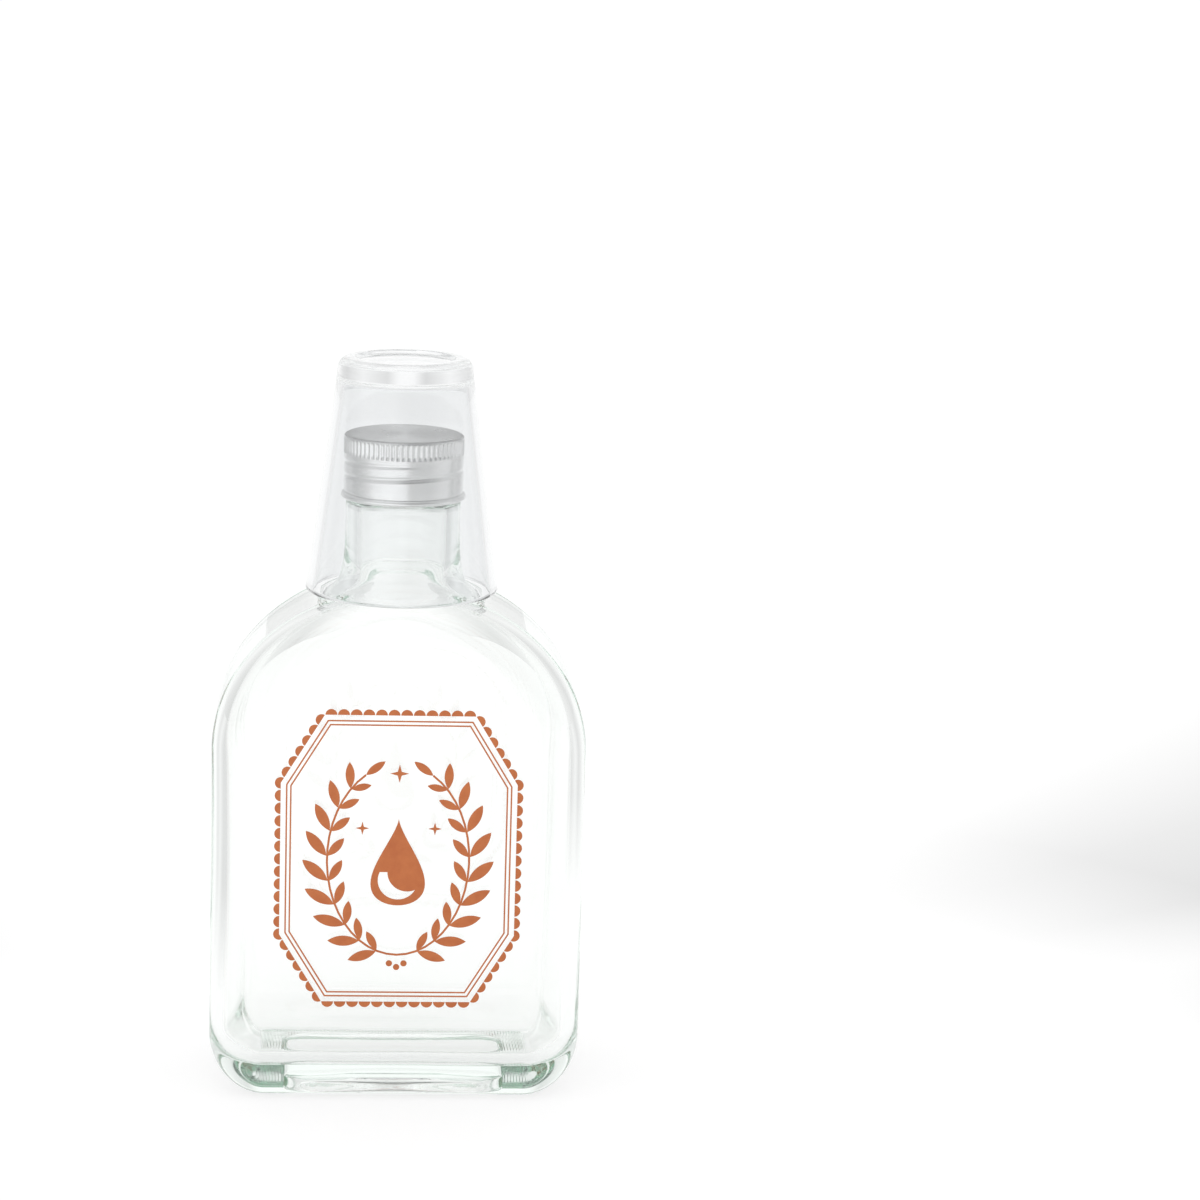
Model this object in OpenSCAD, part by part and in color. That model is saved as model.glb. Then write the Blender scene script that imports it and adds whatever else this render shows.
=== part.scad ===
// Flat-fronted glass flask with an aluminium screw cap and a clear cup turned over its neck

/* [Glass body] */
// Width of the glass body across its two sides
body_w = 87.4; // [76:0.2:110]
// Depth of the glass body, front face to back face
body_d = 43.8; // [40:0.2:54]
// Height of the straight sides, where the shoulder arch springs
spring_h = 82.4; // [60:0.2:100]
// Rise of the half oval shoulder arch above the straight sides
arch_rise = 38.8; // [34:0.2:48]
// Radius of the rolled edge between the front face and the sides
edge_r = 10; // [6:0.5:12]
// Radius of the heel under the front and back faces
heel_r = 5.4; // [3:0.2:8]
// Radius of the two bottom corners, seen from the front
corner_r = 13.4; // [13:0.2:20]
// Thickness of the glass in the walls
wall = 3.2; // [2.4:0.1:4]
// Thickness of the glass in the base
base_t = 6.2; // [5:0.1:10]
// Width of the flat ring that the base stands on
foot_w = 3.6; // [2:0.2:6]
// Depth of the hollow that is pushed up into the base
punt_h = 3; // [0.8:0.1:4]
// Radius of the corners of that hollow, seen from below
punt_corner = 7; // [4:0.2:10]
// How much rounder the cavity's long edges are than an even wall would make them
cavity_round = 1.4; // [0:0.2:3]

/* [Neck and mouth] */
// Outside radius of the neck just below the cap
neck_r = 13.4; // [12:0.1:13.5]
// Height of the neck above the top of the shoulder arch, up to the mouth
neck_h = 32.6; // [26:0.2:44]
// How far the neck widens where it grows out of the shoulder
root_flare = 4.2; // [2:0.2:6]
// Height over which the neck flares, above the top of the shoulder arch
flare_h = 10; // [6:0.5:14]
// Radius of the bore through the neck
bore_r = 8.1; // [7:0.1:9]
// How far the bore widens where it opens into the shoulder
throat_flare = 3.4; // [2:0.2:5]
// Outside radius of the finish that the cap screws over
finish_r = 12.5; // [11.5:0.1:12.8]

/* [Screw cap] */
// Outside diameter of the cap's skirt
cap_dia = 28; // [28:0.1:31]
// Height of the cap
cap_h = 15; // [13:0.5:18]
// Thickness of the aluminium sheet
sheet_t = 0.35; // [0.25:0.05:0.5]
// Diameter of the curled edge at the foot of the cap
curl_dia = 29.1; // [29:0.1:32]
// Height of the curled edge
curl_h = 1.5; // [1:0.1:2]
// Height of the knurled grip band
knurl_h = 3.4; // [2:0.2:4]
// Number of knurls round the grip band
knurl_n = 72; // [48:1:96]
// Depth of one knurl
knurl_depth = 0.2; // [0.1:0.05:0.25]
// Thickness of the foam liner
liner_t = 1.4; // [1:0.1:2.5]

/* [Cup] */
// Height of the cup, rim to closed end
cup_h = 55; // [52:0.5:70]
// Outside radius of the cup at its rim
cup_rim_r = 22.5; // [22:0.1:26]
// Outside radius of the cup at its closed end
cup_end_r = 15.4; // [15:0.1:20]
// Thickness of the cup's wall
cup_wall = 1.9; // [1.4:0.1:2.2]
// Thickness of the cup's floor
cup_floor = 5.4; // [3:0.2:7]
// Radius of the rounded edge of the closed end
cup_edge_r = 2.6; // [1:0.2:3.2]
// Depth of the shallow recess in the closed end
cup_recess = 0.8; // [0.4:0.1:1.2]

/* [Front print] */
// Width of the eight-sided frame, measured on its base line
print_w = 54.7; // [46:0.2:60]
// Height of the frame, measured on its base line
print_h = 69; // [60:0.2:76]
// Length of the frame's top and bottom sides
print_top = 34.8; // [28:0.2:40]
// Length of the frame's upright sides
print_upright = 36.4; // [28:0.2:44]
// Height of the middle of the frame above the base
print_z = 58.9; // [50:0.2:64]
// Radius of one scallop of the edging
scallop_r = 1.38; // [1:0.02:1.6]
// Gap between two scallops
scallop_gap = 0.2; // [0.1:0.02:0.4]
// Thickness of the two fine lines inside the edging
keyline_t = 0.36; // [0.2:0.02:0.5]
// Distance from the base line in to the outer fine line
keyline_inset = 1.2; // [0.8:0.05:1.8]
// Distance between the two fine lines
keyline_step = 0.95; // [0.7:0.05:1.4]
// Width of the leaf wreath, measured on its stems
wreath_w = 33; // [24:0.5:35]
// Height of the leaf wreath, measured on its stems
wreath_h = 46; // [32:0.5:50]
// Length of the wreath's longest leaf
leaf_l = 7.8; // [5:0.1:8.4]
// Height of the drop in the middle of the wreath
drop_h = 21; // [12:0.5:24]
// Reach of the points of the upper spark
spark_r = 2.2; // [1.4:0.1:2.6]
// Thickness of the printed ink
ink_t = 0.06; // [0.04:0.01:0.15]

/* [Fits] */
// Gap left between faces that slide or seat on each other
seat_gap = 0.05; // [0.02:0.01:0.1]
// Air under the lip of the cup, which sits loosely over the neck
cup_gap = 0.3; // [0.05:0.05:0.4]

/* [Hidden] */
$fn = 96;

shoulder_top = spring_h + arch_rise;
mouth_h = shoulder_top + neck_h;
half_w = body_w / 2;
half_d = body_d / 2;

liner_z = mouth_h + seat_gap;
cap_top = liner_z + liner_t + seat_gap + sheet_t;
cap_z = cap_top - cap_h;
cap_r = cap_dia / 2;
cap_bore_r = cap_r - knurl_depth - sheet_t;
curl_bore_r = cap_bore_r + 0.05;
liner_r = cap_bore_r - 0.15;

cup_slope = (cup_rim_r - cup_end_r) / cup_h;
lip_r = cup_wall / 2;
lip_mid_r = cup_rim_r - lip_r;

// Steps round the arch and a bottom corner, and across a rolled edge
arch_steps = 60;
corner_steps = 7;
roll_steps = 8;

// Front outline: one entry a point, [x, z, normal x, normal z, share of the full edge roll]
function outline(hw, z_base, z_spring, rise, rc) = concat(
    [for (i = [0:corner_steps]) let (a = -90 + 90 * i / corner_steps)
        [hw - rc + rc * cos(a), z_base + rc + rc * sin(a), cos(a), sin(a), i / corner_steps]],
    [for (i = [0:arch_steps]) let (
            a = 180 * i / arch_steps,
            n = [cos(a) / hw, sin(a) / rise],
            u = n / norm(n))
        [hw * cos(a), z_spring + rise * sin(a), u[0], u[1], 1]],
    [for (i = [0:corner_steps]) let (a = 180 + 90 * i / corner_steps)
        [-hw + rc + rc * cos(a), z_base + rc + rc * sin(a), cos(a), sin(a), 1 - i / corner_steps]]
);

// One point of the rolled edge: inset along the normal as the roll turns on to the face
function rolled(p, hd, r_heel, r_edge, turn, side) = let (
        share = p[4] * p[4] * (3 - 2 * p[4]),
        r = r_heel + (r_edge - r_heel) * share,
        inset = r * (1 - sin(turn)))
    [p[0] - inset * p[2], side * (hd - r + r * cos(turn)), p[1] - inset * p[3]];

// Closed arched slab with rolled edges, lofted front to back
module slab(hw, hd, z_base, z_spring, rise, rc, r_heel, r_edge) {
    line = outline(hw, z_base, z_spring, rise, rc);
    n = len(line);
    front = [for (k = [0:roll_steps]) [90 * k / roll_steps, -1]];
    back = [for (k = [roll_steps:-1:0]) [90 * k / roll_steps, 1]];
    rings = concat(front, back);
    points = [for (ring = rings) for (p = line) rolled(p, hd, r_heel, r_edge, ring[0], ring[1])];
    last = (len(rings) - 1) * n;
    sides = [for (k = [0:len(rings) - 2]) for (i = [0:n - 1]) let (
                a = k * n + i,
                b = k * n + (i + 1) % n)
            for (face = [[a, b, a + n], [b, b + n, a + n]]) face];
    caps = [[for (i = [n - 1:-1:0]) i], [for (i = [0:n - 1]) last + i]];
    polyhedron(points, concat(caps, sides), convexity = 4);
}

// Height of the outer shoulder above a point of the plan
function shoulder_z(x, y) = let (
        into = max(0, abs(y) - (half_d - edge_r)),
        drop = edge_r - sqrt(max(0, edge_r * edge_r - into * into)))
    spring_h + (arch_rise - drop) * sqrt(max(0, 1 - pow(x / (half_w - drop), 2)));

// The upturned cup stands on the high spots of the shoulder that its round lip meets
lip_contacts = [for (a = [0:3:90]) for (k = [-60:10:60])
    shoulder_z((lip_mid_r + lip_r * sin(k)) * cos(a), (lip_mid_r + lip_r * sin(k)) * sin(a))
        - lip_r * (1 - cos(k))];
cup_z = max(lip_contacts) + cup_gap;

// Outside of the neck: a gentle flare that tightens into a fillet at its root
root_sink = 3;
flare_top = shoulder_top + flare_h;
flare_bottom = shoulder_top - root_sink;
function neck_out(z) = let (u = (flare_top - z) / (flare_top - flare_bottom))
    neck_r + root_flare * (0.55 * pow(u, 2) + 0.45 * pow(u, 10));

// Inside of the neck: a straight bore that opens into the shoulder
throat_top = shoulder_top + flare_h / 2;
throat_bottom = shoulder_top - 2 * wall;
function neck_in(z) = let (u = (throat_top - z) / (throat_top - throat_bottom))
    bore_r + throat_flare * pow(u, 2);

module neck_solid() {
    flare = [for (i = [0:12]) let (z = flare_bottom + (flare_top - flare_bottom) * i / 12)
        [neck_out(z), z]];
    ledge_z = cap_z + 1;
    lip_round = 1;
    rotate_extrude()
        polygon(concat(
            [[0, flare_bottom - wall / 2], [neck_out(flare_bottom), flare_bottom - wall / 2]],
            flare,
            [[neck_r, ledge_z - (neck_r - finish_r)], [finish_r, ledge_z]],
            [for (a = [0:30:90])
                [finish_r - lip_round + lip_round * cos(a), mouth_h - lip_round + lip_round * sin(a)]],
            [[0, mouth_h]]));
}

module neck_bore() {
    throat = [for (i = [0:8]) let (z = throat_bottom + (throat_top - throat_bottom) * i / 8)
        [neck_in(z), z]];
    mouth_round = 0.8;
    rotate_extrude()
        polygon(concat(
            [[0, throat_bottom]],
            throat,
            [for (a = [180:-30:90])
                [bore_r + mouth_round + mouth_round * cos(a), mouth_h - mouth_round + mouth_round * sin(a)]],
            [[bore_r + mouth_round, mouth_h + 1], [0, mouth_h + 1]]));
}

// Hollow under the base, which leaves a flat ring to stand on; its wall leans in a little for the mould
module punt() {
    reach_x = half_w - corner_r - foot_w;
    reach_y = half_d - heel_r - foot_w;
    r = min(punt_corner, reach_x, reach_y);
    lean = 0.15 * punt_h;
    corners = [[1, 1, 0], [-1, 1, 90], [-1, -1, 180], [1, -1, 270]];
    translate([0, 0, -0.01])
        linear_extrude(height = punt_h, scale = 1 - lean / reach_y)
            polygon([for (c = corners) for (i = [0:8]) let (a = c[2] + 90 * i / 8)
                [c[0] * (reach_x - r) + r * cos(a), c[1] * (reach_y - r) + r * sin(a)]]);
}

module bottle() {
    color([0.86, 0.93, 0.89, 0.55])
        difference() {
            union() {
                slab(half_w, half_d, 0, spring_h, arch_rise, corner_r, heel_r, edge_r);
                neck_solid();
            }
            slab(half_w - wall, half_d - wall, base_t, spring_h, arch_rise - wall,
                corner_r - wall, heel_r, edge_r - wall + cavity_round);
            neck_bore();
            punt();
        }
}

module cap_liner() {
    color([0.95, 0.95, 0.93])
        translate([0, 0, liner_z])
            cylinder(r = liner_r, h = liner_t);
}

// Grip band: a sheet ring whose outside is pressed into even knurls
module knurl_ring() {
    step = 360 / knurl_n;
    crest = cap_r - seat_gap;
    root = crest - knurl_depth;
    linear_extrude(height = knurl_h)
        difference() {
            polygon([for (i = [0:knurl_n - 1]) for (s = [[0, root], [0.3, crest], [0.7, crest]])
                let (a = (i + s[0]) * step) [s[1] * cos(a), s[1] * sin(a)]]);
            circle(r = cap_bore_r);
        }
}

module cap_shell() {
    edge = cap_h * 0.053;
    step = sheet_t * 0.3;
    knurl_top = cap_h - edge - step;
    knurl_low = knurl_top - knurl_h;
    skirt_r = cap_r - knurl_depth / 2;
    shoulder_h = curl_h * 0.53;
    undercut_r = cap_bore_r + sheet_t;
    undercut_h = curl_h / 5;
    curl_r = curl_dia / 2;
    color([0.82, 0.83, 0.84])
        translate([0, 0, cap_z]) {
            rotate_extrude()
                polygon(concat(
                    [[0, cap_h]],
                    [for (a = [90:-30:0]) [cap_r - edge + edge * cos(a), cap_h - edge + edge * sin(a)]],
                    [[cap_r, knurl_top], [cap_bore_r, knurl_top], [cap_bore_r, cap_h - sheet_t],
                        [0, cap_h - sheet_t]]));
            translate([0, 0, knurl_low]) knurl_ring();
            rotate_extrude()
                polygon(concat(
                    [[cap_bore_r, knurl_low], [skirt_r, knurl_low], [skirt_r + step, knurl_low - shoulder_h],
                        [skirt_r, knurl_low - 2 * shoulder_h], [skirt_r, curl_h + undercut_h],
                        [undercut_r, curl_h + undercut_h / 2], [undercut_r, curl_h]],
                    [for (a = [75:-25:-75])
                        [curl_r - curl_h / 2 + curl_h / 2 * cos(a), curl_h / 2 + curl_h / 2 * sin(a)]],
                    [[curl_bore_r + undercut_h, 0], [curl_bore_r, undercut_h], [cap_bore_r, curl_h]]));
        }
}

module cup() {
    edge_z = cup_h - cup_edge_r;
    end_r = cup_end_r + cup_slope * cup_edge_r;
    floor_z = cup_h - cup_floor;
    floor_r = cup_end_r + cup_slope * cup_floor - cup_wall;
    floor_round = 2;
    recess_r = cup_end_r - cup_edge_r - 0.8;
    color([0.95, 0.97, 0.99, 0.4])
        translate([0, 0, cup_z])
            rotate_extrude()
                polygon(concat(
                    [[0, cup_h - cup_recess], [recess_r - cup_recess, cup_h - cup_recess], [recess_r, cup_h]],
                    [for (a = [90:-15:0])
                        [end_r - cup_edge_r + cup_edge_r * cos(a), edge_z + cup_edge_r * sin(a)]],
                    [for (a = [0:-20:-180]) [lip_mid_r + lip_r * cos(a), lip_r + lip_r * sin(a)]],
                    [for (a = [0:30:90])
                        [floor_r - floor_round + floor_round * cos(a),
                            floor_z - floor_round + floor_round * sin(a)]],
                    [[0, floor_z]]));
}

// Corners of the eight-sided frame, anticlockwise from the right of the top side
function frame_corners() = let (w = print_w / 2, h = print_h / 2, s = print_top / 2, v = print_upright / 2)
    [[s, h], [-s, h], [-w, v], [-w, -v], [-s, -h], [s, -h], [w, -v], [w, v]];

// Corner of the frame drawn in by a distance from both of its sides
function drawn_in(before, at, after, inset) = let (
        u = (at - before) / norm(at - before),
        v = (after - at) / norm(after - at),
        sine = u[0] * v[1] - u[1] * v[0])
    at + (v - u) * inset / sine;

module frame_outline(inset) {
    c = frame_corners();
    polygon([for (i = [0:7]) drawn_in(c[(i + 7) % 8], c[i], c[(i + 1) % 8], inset)]);
}

module keyline(inset) {
    difference() {
        frame_outline(inset);
        frame_outline(inset + keyline_t);
    }
}

// Half discs along one side of the frame, standing outwards. Lead and trail are the shares of
// a step that lie before the first and behind the last
module scallops(from, to, lead, trail) {
    run = to - from;
    count = 1 + round(norm(run) / (2 * scallop_r + scallop_gap) - lead - trail);
    for (i = [0:count - 1])
        translate(from + run * (i + lead) / (count - 1 + lead + trail))
            rotate(atan2(run[1], run[0]))
                difference() {
                    circle(r = scallop_r, $fn = 24);
                    translate([-2 * scallop_r, 0]) square([4 * scallop_r, 2 * scallop_r]);
                }
}

// The four corners beside the upright sides carry a scallop of their own, the other four lie between two
module frame_edging() {
    c = frame_corners();
    share = [0.5, 0.5, 1, 1, 0.5, 0.5, 1, 1];
    for (i = [0:7]) scallops(c[i], c[(i + 1) % 8], share[i], share[(i + 1) % 8]);
    for (i = [2, 3, 6, 7])
        difference() {
            translate(c[i]) circle(r = scallop_r, $fn = 24);
            frame_outline(0);
        }
}

// Leaf with two round sides that meet in points
module leaf(length, width) {
    r = (length * length + width * width) / (4 * width);
    translate([length / 2, 0])
        intersection() {
            translate([0, r - width / 2]) circle(r = r);
            translate([0, width / 2 - r]) circle(r = r);
        }
}

// Right-hand branch of the wreath, from its foot to its tip, on a half oval
module branch() {
    rx = wreath_w / 2;
    rz = wreath_h / 2;
    stem = 0.5;
    foot = -90;
    tip = 62;
    steps = 19;
    pairs = 9;
    spread = 40;
    stem_angles = [for (i = [0:steps]) foot + (tip - foot) * i / steps];
    polygon(concat(
        [for (a = stem_angles) [(rx + stem / 2) * cos(a), (rz + stem / 2) * sin(a)]],
        [for (i = [steps:-1:0]) let (a = stem_angles[i])
            [(rx - stem / 2) * cos(a), (rz - stem / 2) * sin(a)]]));
    for (i = [0:pairs]) {
        a = -74 + (tip + 74) * i / pairs;
        along = atan2(rz * cos(a), -rx * sin(a));
        size = leaf_l * (1 - 0.35 * pow((i - 3.5) / 6, 2));
        translate([rx * cos(a), rz * sin(a)]) {
            if (i < pairs) {
                rotate(along - spread) translate([0.3, 0]) leaf(size, size * 0.34);
                rotate(along + spread) translate([0.3, 0]) leaf(size * 0.74, size * 0.27);
            }
            if (i == pairs) rotate(along) leaf(size, size * 0.34);
        }
    }
}

module wreath() {
    branch();
    mirror([1, 0]) branch();
    for (x = [-1, 0, 1])
        translate([1.7 * x, -wreath_h / 2 - 2.1 - 0.9 * (1 - abs(x))]) circle(r = 0.75, $fn = 24);
}

// Falling drop with a crescent left clear inside it
module drop_mark() {
    half = drop_h / 2;
    bowl = 0.66 * half * 0.93;
    translate([0, -0.5])
        difference() {
            polygon([for (t = [0:6:354]) [0.93 * half * sin(t) * pow(sin(t / 2), 2), half * cos(t)]]);
            translate([0, -0.42 * half])
                intersection() {
                    difference() {
                        circle(r = 0.72 * bowl);
                        translate([0.34 * bowl, 0.3 * bowl]) circle(r = 0.72 * bowl);
                    }
                    translate([-bowl, -bowl]) square([2 * bowl, 1.3 * bowl]);
                }
        }
}

module spark(size) {
    polygon([for (i = [0:7]) let (r = i % 2 == 0 ? size : size * 0.3) [r * cos(45 * i), r * sin(45 * i)]]);
}

module front_print() {
    color([0.78, 0.44, 0.24])
        translate([0, -half_d, print_z])
            rotate([90, 0, 0])
                linear_extrude(height = ink_t) {
                    frame_edging();
                    keyline(keyline_inset);
                    keyline(keyline_inset + keyline_step);
                    wreath();
                    drop_mark();
                    for (x = [-1, 1]) translate([x * drop_h * 0.4, drop_h * 0.36]) spark(spark_r * 0.73);
                    translate([0, wreath_h * 0.45]) spark(spark_r);
                }
}

bottle();
cap_liner();
cap_shell();
cup();
front_print();
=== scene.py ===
"""Glass mouthwash flask with an aluminium screw cap and an upturned clear cup, dressed for a studio picture.

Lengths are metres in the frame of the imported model: +Z is up and the printed front faces -Y.
"""

import logging
import math
from dataclasses import dataclass
from enum import Enum
from typing import Callable

import bpy
import numpy as np
from mathutils import Matrix, Vector


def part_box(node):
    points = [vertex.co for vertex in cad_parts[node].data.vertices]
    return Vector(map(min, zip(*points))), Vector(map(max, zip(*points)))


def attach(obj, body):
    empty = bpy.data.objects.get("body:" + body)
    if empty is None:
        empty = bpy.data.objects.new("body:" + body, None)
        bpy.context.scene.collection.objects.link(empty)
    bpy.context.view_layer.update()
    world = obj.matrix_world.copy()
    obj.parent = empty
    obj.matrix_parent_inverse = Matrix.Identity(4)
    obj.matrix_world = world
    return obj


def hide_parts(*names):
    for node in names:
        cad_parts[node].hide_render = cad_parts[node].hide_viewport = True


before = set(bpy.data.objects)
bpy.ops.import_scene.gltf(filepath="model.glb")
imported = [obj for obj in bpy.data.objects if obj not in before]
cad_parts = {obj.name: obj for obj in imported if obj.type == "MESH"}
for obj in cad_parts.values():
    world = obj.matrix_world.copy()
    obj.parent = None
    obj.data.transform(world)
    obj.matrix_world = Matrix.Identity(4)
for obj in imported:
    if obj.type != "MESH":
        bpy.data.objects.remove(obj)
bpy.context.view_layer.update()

MM = 0.001
PHOTO_SIDE = 1200
SENSOR = 36.0

log = logging.getLogger("flask")


class Face(Enum):
    """Which skin of the flask is meant."""

    OUTER = "outer"
    INNER = "inner"


def linear(colour: str) -> tuple[float, float, float, float]:
    """Turn an sRGB hex colour to linear.

    Args:
        colour: The colour as "#RRGGBB".

    Returns:
        Linear red, green, blue and an alpha of one.
    """
    parts = [int(colour[i : i + 2], 16) / 255 for i in (1, 3, 5)]
    red, green, blue = (c / 12.92 if c <= 0.04045 else ((c + 0.055) / 1.055) ** 2.4 for c in parts)
    return (red, green, blue, 1.0)


def add_node(tree: bpy.types.NodeTree, kind: str, inputs: dict | None = None, **settings: object) -> bpy.types.Node:
    """Add a node with its settings and links.

    Args:
        tree: The node tree.
        kind: The node's type.
        inputs: Socket name or number to a value, or to an output socket to link from.
        settings: Properties of the node.

    Returns:
        The new node.
    """
    node = tree.nodes.new(kind)
    for name, value in settings.items():
        setattr(node, name, value)
    for key, value in (inputs or {}).items():
        if isinstance(value, bpy.types.NodeSocket):
            tree.links.new(value, node.inputs[key])
        else:
            node.inputs[key].default_value = value
    return node


def new_material(name: str) -> bpy.types.Material:
    """Make an empty node material.

    Args:
        name: The material's name.

    Returns:
        The material, with no nodes in it.
    """
    material = bpy.data.materials.new(name)
    material.use_nodes = True
    material.node_tree.nodes.clear()
    return material


def mixed(tree: bpy.types.NodeTree, factor: bpy.types.NodeSocket, first: str, second: str) -> bpy.types.NodeSocket:
    """Mix two hex colours by a factor.

    Args:
        tree: The node tree.
        factor: Where the factor comes from.
        first: Colour at factor 0.
        second: Colour at factor 1.

    Returns:
        The mixed colour's output.
    """
    node = add_node(tree, "ShaderNodeMix", {0: factor, 6: linear(first), 7: linear(second)}, data_type="RGBA")
    return node.outputs[2]


def noise(
    tree: bpy.types.NodeTree, grain: float, detail: float = 2.0, stretch: tuple[float, float, float] = (1, 1, 1)
) -> bpy.types.NodeSocket:
    """Noise on object coordinates at a real grain size.

    Args:
        tree: The node tree.
        grain: Size of one grain, in metres.
        detail: Octaves of finer noise.
        stretch: How many times finer the grain is along each axis.

    Returns:
        The noise's factor output.
    """
    where = add_node(tree, "ShaderNodeTexCoord").outputs["Object"]
    placed = add_node(tree, "ShaderNodeMapping", {"Vector": where, "Scale": stretch}).outputs[0]
    return add_node(
        tree, "ShaderNodeTexNoise", {"Vector": placed, "Scale": 1 / grain, "Detail": detail}
    ).outputs[0]


def ranged(
    tree: bpy.types.NodeTree, value: bpy.types.NodeSocket, low: float, high: float,
    start: float = 0.3, end: float = 0.7,
) -> bpy.types.NodeSocket:
    """Stretch a value to a new range.

    Args:
        tree: The node tree.
        value: The value to stretch.
        low: Result at start.
        high: Result at end.
        start: Value that gives low.
        end: Value that gives high.

    Returns:
        The stretched value's output.
    """
    return add_node(
        tree, "ShaderNodeMapRange",
        {"Value": value, "From Min": start, "From Max": end, "To Min": low, "To Max": high},
    ).outputs[0]


@dataclass(frozen=True)
class BottleGlass:
    """Soda-lime container glass, blown and fire polished: clear on its faces, green where it is thick."""

    ior: float = 1.52
    tint: str = "#A8E0C4"
    density: float = 3.3
    ripple: float = 16 * MM
    ripple_depth: float = 0.05 * MM
    rib: float = 0.7 * MM
    rib_depth: float = 0.06 * MM
    rib_top: float = 0.5 * MM
    rib_roughness: float = 0.1

    def material(self) -> bpy.types.Material:
        """Build the glass.

        Returns:
            The material.
        """
        made = new_material("soda_lime_glass")
        tree = made.node_tree
        ripples = noise(tree, self.ripple, 1.0)
        bump = add_node(
            tree, "ShaderNodeBump", {"Height": ripples, "Strength": 0.35, "Distance": self.ripple_depth}
        )
        # the mould's fine ribs on the foot, which grey the glass a little where they show through the base
        where = add_node(tree, "ShaderNodeTexCoord").outputs["Object"]
        parts = add_node(tree, "ShaderNodeSeparateXYZ", {0: where})
        foot = ranged(tree, parts.outputs["Z"], 1.0, 0.0, 0.0, self.rib_top)
        turn = add_node(
            tree, "ShaderNodeMath", {0: parts.outputs["X"], 1: math.tau / self.rib}, operation="MULTIPLY"
        )
        ribs = add_node(tree, "ShaderNodeMath", {0: turn.outputs[0]}, operation="SINE")
        ribbed = add_node(tree, "ShaderNodeBump", {
            "Height": ribs.outputs[0], "Strength": foot, "Distance": self.rib_depth, "Normal": bump.outputs[0],
        })
        body = add_node(tree, "ShaderNodeBsdfPrincipled", {
            "Base Color": mixed(tree, ripples, "#FFFFFF", "#FDFEFD"),
            "Roughness": ranged(tree, foot, 0.0, self.rib_roughness, 0.0, 1.0),
            "IOR": self.ior,
            "Transmission Weight": 1.0,
            "Normal": ribbed.outputs[0],
        })
        depth = add_node(
            tree, "ShaderNodeVolumeAbsorption", {"Color": linear(self.tint), "Density": self.density}
        )
        add_node(tree, "ShaderNodeOutputMaterial", {"Surface": body.outputs[0], "Volume": depth.outputs[0]})
        return made


@dataclass(frozen=True)
class CupPlastic:
    """Water-clear moulded polystyrene: polished faces with faint flow marks."""

    ior: float = 1.57
    flow: float = 9 * MM
    flow_depth: float = 0.03 * MM

    def material(self) -> bpy.types.Material:
        """Build the plastic.

        Returns:
            The material.
        """
        made = new_material("clear_polystyrene")
        tree = made.node_tree
        marks = noise(tree, self.flow, 2.0, (1, 1, 0.35))
        bump = add_node(tree, "ShaderNodeBump", {"Height": marks, "Strength": 0.25, "Distance": self.flow_depth})
        body = add_node(tree, "ShaderNodeBsdfPrincipled", {
            "Base Color": mixed(tree, marks, "#F8F9F9", "#F4F5F6"),
            "Roughness": 0.01,
            "IOR": self.ior,
            "Transmission Weight": 1.0,
            "Normal": bump.outputs[0],
        })
        add_node(tree, "ShaderNodeOutputMaterial", {"Surface": body.outputs[0]})
        return made


@dataclass(frozen=True)
class CapAluminium:
    """Drawn aluminium sheet under clear lacquer, turned round its axis so that the lid shows fans of light; the lid's
    darker grey is painted shade.
    """

    colour: str = "#E6E6E6"
    lid_shaded_colour: str = "#B4B4B4"
    mark_gap: float = 0.5 * MM
    mark_depth: float = 0.01 * MM
    handling: float = 6 * MM
    lid_z: float = 155.65 * MM
    turning: float = 0.75
    lid_roughness: float = 0.1

    def material(self) -> bpy.types.Material:
        """Build the metal.

        Returns:
            The material.
        """
        made = new_material("turned_aluminium")
        tree = made.node_tree
        where = add_node(tree, "ShaderNodeTexCoord").outputs["Object"]
        # real turning marks are near 0.1 mm apart, drawn here as coarse as the picture can show
        rings = add_node(tree, "ShaderNodeTexWave", {
            "Vector": where, "Scale": 0.5 / self.mark_gap / math.pi, "Distortion": 1.5, "Detail": 2.0,
        }, wave_type="RINGS", rings_direction="Z").outputs["Fac"]
        handled = noise(tree, self.handling, 2.0)
        bump = add_node(tree, "ShaderNodeBump", {"Height": rings, "Strength": 0.12, "Distance": self.mark_depth})
        around = add_node(tree, "ShaderNodeTangent", direction_type="RADIAL", axis="Z")
        height = add_node(tree, "ShaderNodeSeparateXYZ", {0: where}).outputs["Z"]
        lid = ranged(tree, height, 0.0, 1.0, self.lid_z - 0.5 * MM, self.lid_z - 0.1 * MM)
        turned = add_node(tree, "ShaderNodeMath", {0: lid, 1: self.turning}, operation="MULTIPLY").outputs[0]
        sheen = add_node(tree, "ShaderNodeMath", {0: lid, 1: self.lid_roughness}, operation="MULTIPLY").outputs[0]
        body = add_node(tree, "ShaderNodeBsdfPrincipled", {
            # painted shade: the lid gets a darker grey than the skirt, though both are the same sheet
            "Base Color": add_node(tree, "ShaderNodeMix", {
                0: lid, 6: mixed(tree, handled, self.colour, "#E0E0E0"), 7: linear(self.lid_shaded_colour),
            }, data_type="RGBA").outputs[2],
            "Metallic": 1.0,
            "Roughness": add_node(
                tree, "ShaderNodeMath", {0: ranged(tree, handled, 0.17, 0.2), 1: sheen}, operation="ADD"
            ).outputs[0],
            "Anisotropic": turned,
            "Coat Weight": 0.25,
            "Coat Roughness": 0.12,
            "Tangent": around.outputs[0],
            "Normal": bump.outputs[0],
        })
        add_node(tree, "ShaderNodeOutputMaterial", {"Surface": body.outputs[0]})
        return made


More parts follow.
